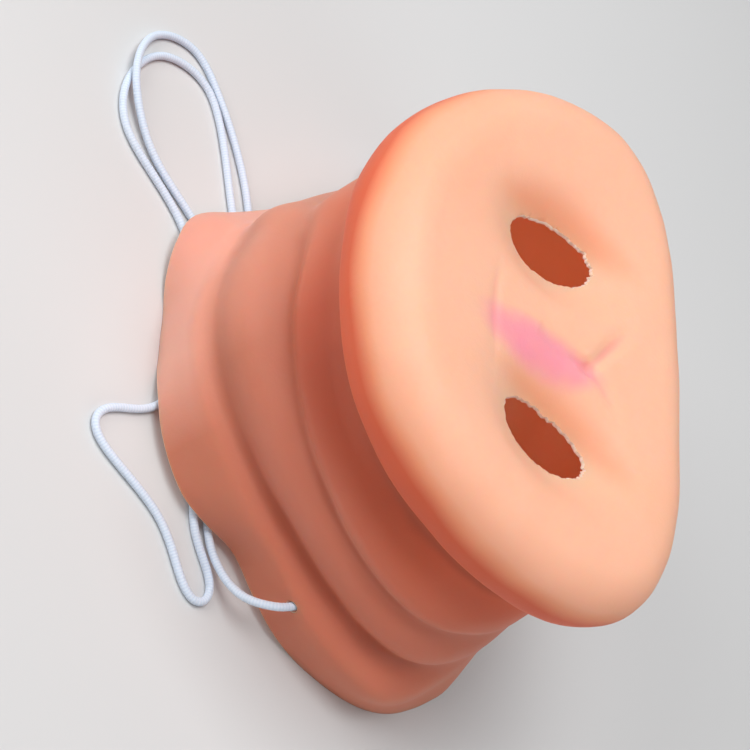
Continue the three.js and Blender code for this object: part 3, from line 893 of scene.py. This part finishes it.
# %% [markdown]
# The lining is the back of the casting: the same rubber, unsprayed and rougher. A painted glow
# stands in for lamp light that comes through the thin wall: the lining emits a little light, more
# towards the side that is up. The cut edges show the pale, raw rubber.

# %% Latex lining and cut edge
lining = Finish("latex lining", Subsurface_Weight=1.0, Subsurface_Scale=0.005, IOR=1.45,
                Subsurface_Radius=(1.0, 0.35, 0.18), Specular_IOR_Level=0.25, Emission_Strength=1.0)
patchy = lining.ease(lining.noise(14, 3), 0.3, 0.75)
lining.set("Base Color", lining.mix(patchy, (0.950, 0.480, 0.300), (0.930, 0.420, 0.250)))
# Painted glow: the lining's emission colour stands in for lamp light through the wall.
PAINTED_GLOW_DIM, PAINTED_GLOW_BRIGHT = (0.063, 0.025, 0.011), (0.144, 0.043, 0.018)
PAINTED_GLOW_FROM, PAINTED_GLOW_FULL = 0.0, 0.024  # metres towards the side that is up
towards_up = lining.node("ShaderNodeSeparateXYZ", {}, lining.place())
# The painted glow is brighter towards the side that is up, and patchy.
painted_glow_share = lining.ease(towards_up, PAINTED_GLOW_FROM, PAINTED_GLOW_FULL) * (0.7 + 0.45 * patchy)
lining.set("Emission Color", lining.mix(painted_glow_share, PAINTED_GLOW_DIM, PAINTED_GLOW_BRIGHT))
lining.set("Roughness", 0.60 + 0.2 * lining.noise(3, 3))
lining.bump(lining.noise(1.2, 4, 0.6), 0.10)

raw = Finish("latex cut", Subsurface_Weight=0.30, Subsurface_Scale=0.003, IOR=1.45,
             Subsurface_Radius=(1.0, 0.4, 0.25), Specular_IOR_Level=0.25)
raw.set("Base Color", raw.mix(raw.noise(1.5, 3), (0.95, 0.72, 0.60), (0.93, 0.60, 0.46)))
raw.set("Roughness", 0.62 + 0.2 * raw.noise(0.8, 2))
raw.bump(raw.noise(0.5, 3), 0.08)
print("lining and cut edge are set")

# %% [markdown]
# ## Elastic
# The cord is white cotton over rubber. The braid is two sets of threads that cross: each set
# is a wave along the UV map, and where one set is up the other is down.

# %% Braided elastic
elastic = Finish("braided elastic", Sheen_Weight=0.25, Sheen_Roughness=0.5, Specular_IOR_Level=0.3)
uv = elastic.node("ShaderNodeUVMap", {"uv_map": "along"})
uv_split = elastic.node("ShaderNodeSeparateXYZ", {}, uv)
u, v = (Value(elastic, uv_split.socket.node.outputs[k]) for k in range(2))
THREADS = 12
THREAD_PITCH = 0.0026


def thread(direction):
    phase = u * (THREADS * 2 * math.pi) + v * (direction * 2 * math.pi * THREADS / 4 / THREAD_PITCH)
    return elastic.node("ShaderNodeMath", {"operation": "SINE"}, phase)


weave = 0.5 + 0.5 * (thread(1) * thread(-1))
soil = elastic.ease(elastic.noise(9, 3), 0.45, 0.8)
white = elastic.mix(weave, (0.62, 0.73, 0.89), (0.79, 0.87, 0.98))
elastic.set("Base Color", elastic.mix(soil * 0.35, white, (0.74, 0.79, 0.85)))
elastic.set("Roughness", 0.62 + 0.2 * (1 - weave))
elastic.bump(weave + 0.5 * elastic.noise(0.25, 2), 0.05)
for piece in (cord, *knots.values()):
    piece.data.materials.clear()
    piece.data.materials.append(elastic.material)
print("braided elastic:", len(elastic.tree.nodes), "nodes")

# %% [markdown]
# ## Floor and light
# The nose lies on a plain sheet of pale paper. A flat plane is enough for it: the paper is far
# larger than the picture, so no edge or fold of it is seen.

# %% Floor
bpy.ops.object.select_all(action="DESELECT")
bpy.ops.mesh.primitive_plane_add(size=4)
floor = bpy.context.object
floor.name = "floor"
paper = Finish("pale paper", Roughness=0.9, Specular_IOR_Level=0.2)
paper.set("Base Color", paper.mix(paper.noise(180, 3), (0.64, 0.64, 0.64), (0.67, 0.67, 0.67)))
floor.data.materials.append(paper.material)
print("paper is", [round(d, 1) for d in floor.dimensions], "metres")

# %% [markdown]
# A large soft lamp hangs overhead, a weaker one stands on the bridge side, and a faint one on the
# side that is down in the picture. Small lamps would draw hard shadows; large, near ones give the
# matt rubber its slow shading. A little even light from all round keeps the folds readable.

# %% Lamps


def soft_lamp(name, towards, distance, size, power):
    """Square lamp that looks at the nose from a direction."""
    data = bpy.data.lights.new(name, "AREA")
    data.size = size
    data.energy = power
    lamp = bpy.data.objects.new(name, data)
    away = Vector(towards).normalized()
    aim = Vector((0, 0, 0.025))
    turned = away.to_track_quat("Z", "Y").to_matrix().to_4x4()
    lamp.matrix_world = Matrix.Translation(aim + away * distance) @ turned
    bpy.context.scene.collection.objects.link(lamp)
    return lamp


soft_lamp("key", (0.18, 0.24, 0.95), 0.55, 0.36, 2.7)
soft_lamp("fill", (0.30, 0.85, 0.42), 0.70, 0.40, 2.1)
soft_lamp("low", (-0.80, -0.40, 0.45), 0.70, 0.40, 1.05)
world = bpy.data.worlds.new("studio")
world.use_nodes = True
world.node_tree.nodes["Background"].inputs["Color"].default_value = (0.95, 0.97, 1.0, 1)
world.node_tree.nodes["Background"].inputs["Strength"].default_value = 0.16
bpy.context.scene.world = world
bpy.context.scene.view_settings.view_transform = "Standard"
print("lamps are set")
